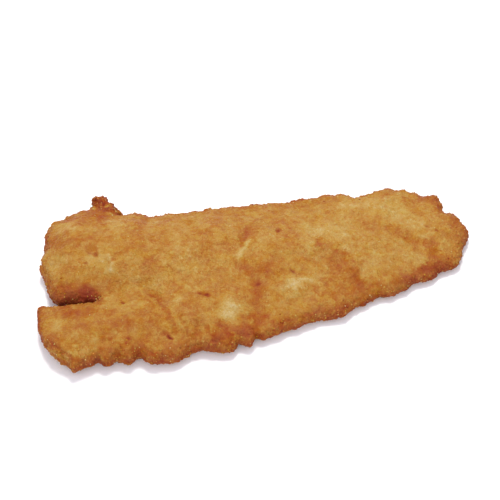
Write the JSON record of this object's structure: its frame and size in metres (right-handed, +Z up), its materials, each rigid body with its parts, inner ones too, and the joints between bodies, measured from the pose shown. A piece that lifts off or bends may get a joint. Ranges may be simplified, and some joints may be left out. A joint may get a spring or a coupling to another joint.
{
  "type": "fried fish fillet",
  "caption": "Whole fish fillet fried in crisp golden batter, with a notched thick head end and a ragged thin tail, lying flat on its underside.",
  "frame": {"origin": "on the table, under the middle of the fillet's overall box", "axes": "+X from the notched head end to the tail, +Y from the front flap's edge to the back edge, +Z up out of the table"},
  "size_m": [0.2562, 0.1296, 0.022],
  "materials": {
    "batter": "fried batter, golden tan with paler cream and darker orange-brown patches, browner on the rim and in the creases, slightly oily"
  },
  "bodies": {
    "root": {"fish_fillet": "batter"}
  },
  "joints": []
}
